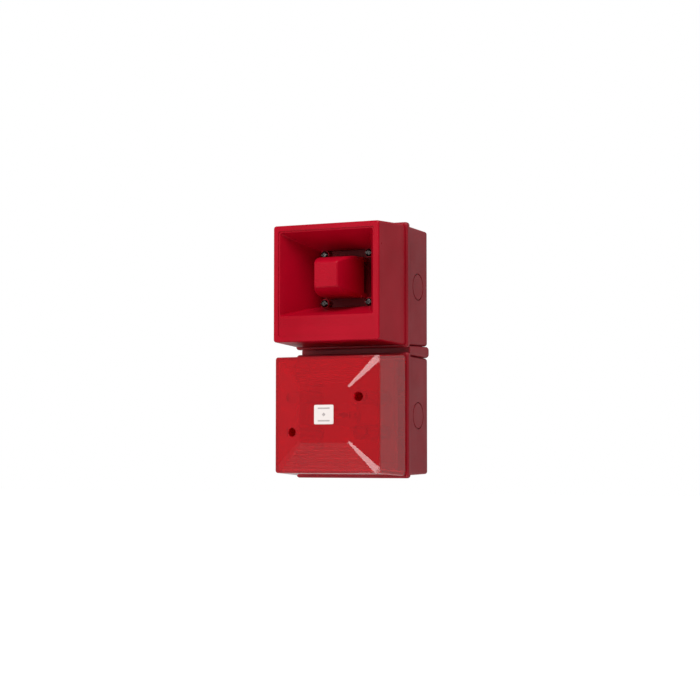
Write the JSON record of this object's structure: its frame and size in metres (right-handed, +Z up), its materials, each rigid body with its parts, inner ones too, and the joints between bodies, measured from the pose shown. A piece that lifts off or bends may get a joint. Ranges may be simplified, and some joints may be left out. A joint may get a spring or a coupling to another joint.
{
  "type": "horn strobe",
  "caption": "Wall-mounted fire alarm sounder with a square flared horn and centre plug above a red faceted strobe beacon, each on a square back box with conduit knock-outs.",
  "frame": {"origin": "on the wall plane, at the middle of the coupler's back face, midway between the two units", "axes": "+Y into the wall, +Z up from the beacon to the sounder, +X to the right seen from the front; the front faces -Y"},
  "size_m": [0.102, 0.0966, 0.208],
  "materials": {
    "box_plastic": "satin moulded ABS, deep red",
    "horn_plastic": "semi-gloss moulded ABS, signal red",
    "lens_plastic": "clear red polycarbonate",
    "gasket_rubber": "matt black rubber",
    "label_paper": "plain off-white, no words",
    "black_plastic": "black glass-filled nylon",
    "diaphragm_film": "amber phenolic film",
    "copper_winding": "enamelled copper wire",
    "plated_steel": "zinc-plated",
    "blackened_steel": "black-passivated steel",
    "ferrite": "ground ferrite",
    "board": "green solder resist",
    "terminal_plastic": "green nylon",
    "switch_plastic": "blue moulded body",
    "white_plastic": "white moulded ABS",
    "capacitor_sleeve": "dark blue shrink sleeve",
    "tube_glass": "clear borosilicate",
    "transformer_tape": "yellow polyester tape",
    "cable_sheath": "pale grey PVC"
  },
  "bodies": {
    "housing": {"sounder_back_box": "box_plastic", "beacon_back_box": "box_plastic", "coupler": "box_plastic", "horn_housing": "horn_plastic", "horn_plug": "horn_plastic", "driver_plate": "horn_plastic", "beacon_lens": "lens_plastic", "sounder_gasket": "gasket_rubber", "beacon_gasket": "gasket_rubber", "diaphragm_surround": "gasket_rubber", "lens_label": "label_paper", "driver_frame": "black_plastic", "tone_chip": "black_plastic", "volume_trimmer_body": "black_plastic", "coupler_locknut_upper": "black_plastic", "coupler_locknut_lower": "black_plastic", "sounder_inductor": "copper_winding", "trigger_coil": "copper_winding", "horn_screw_1": "blackened_steel", "horn_screw_2": "blackened_steel", "horn_screw_3": "blackened_steel", "horn_screw_4": "blackened_steel", "lens_screw_1": "blackened_steel", "lens_screw_2": "blackened_steel", "driver_top_plate": "plated_steel", "driver_yoke": "plated_steel", "sounder_terminal_screw_1": "plated_steel", "sounder_terminal_screw_2": "plated_steel", "sounder_terminal_screw_3": "plated_steel", "sounder_terminal_screw_4": "plated_steel", "beacon_terminal_screw_1": "plated_steel", "beacon_terminal_screw_2": "plated_steel", "beacon_terminal_screw_3": "plated_steel", "beacon_terminal_screw_4": "plated_steel", "driver_magnet": "ferrite", "sounder_pcb": "board", "beacon_pcb": "board", "sounder_terminal_block": "terminal_plastic", "beacon_terminal_block": "terminal_plastic", "tone_switch_body": "switch_plastic", "reflector": "white_plastic", "lamp_tower": "white_plastic", "sounder_capacitor": "capacitor_sleeve", "flash_capacitor": "capacitor_sleeve", "flash_tube": "tube_glass", "flash_transformer": "transformer_tape", "link_cable": "cable_sheath"},
    "diaphragm_assembly": {"diaphragm": "diaphragm_film", "voice_coil": "copper_winding"},
    "volume_rotor": {"volume_trimmer_rotor": "white_plastic"},
    "tone_slider_body_1": {"tone_slider_1": "white_plastic"},
    "tone_slider_body_2": {"tone_slider_2": "white_plastic"},
    "tone_slider_body_3": {"tone_slider_3": "white_plastic"},
    "tone_slider_body_4": {"tone_slider_4": "white_plastic"},
    "tone_slider_body_5": {"tone_slider_5": "white_plastic"}
  },
  "joints": [
    {"name": "diaphragm_stroke", "type": "slide", "parent": "housing", "child": "diaphragm_assembly", "axis": [0, 1, 0], "range_m": [-0.0004, 0.0004], "stiffness_N_per_m": 5000},
    {"name": "tone_slider_1_throw", "type": "slide", "parent": "housing", "child": "tone_slider_body_1", "axis": [0, 0, 1], "range_m": [0, 0.0018]},
    {"name": "tone_slider_2_throw", "type": "slide", "parent": "housing", "child": "tone_slider_body_2", "axis": [0, 0, 1], "range_m": [0, 0.0018]},
    {"name": "tone_slider_3_throw", "type": "slide", "parent": "housing", "child": "tone_slider_body_3", "axis": [0, 0, 1], "range_m": [0, 0.0018]},
    {"name": "tone_slider_4_throw", "type": "slide", "parent": "housing", "child": "tone_slider_body_4", "axis": [0, 0, 1], "range_m": [0, 0.0018]},
    {"name": "tone_slider_5_throw", "type": "slide", "parent": "housing", "child": "tone_slider_body_5", "axis": [0, 0, 1], "range_m": [0, 0.0018]},
    {"name": "volume_turn", "type": "hinge", "parent": "housing", "child": "volume_rotor", "pos_m": [0.0095, -0.0177, 0.0812], "axis": [0, -1, 0], "range_deg": [0, 270]}
  ]
}
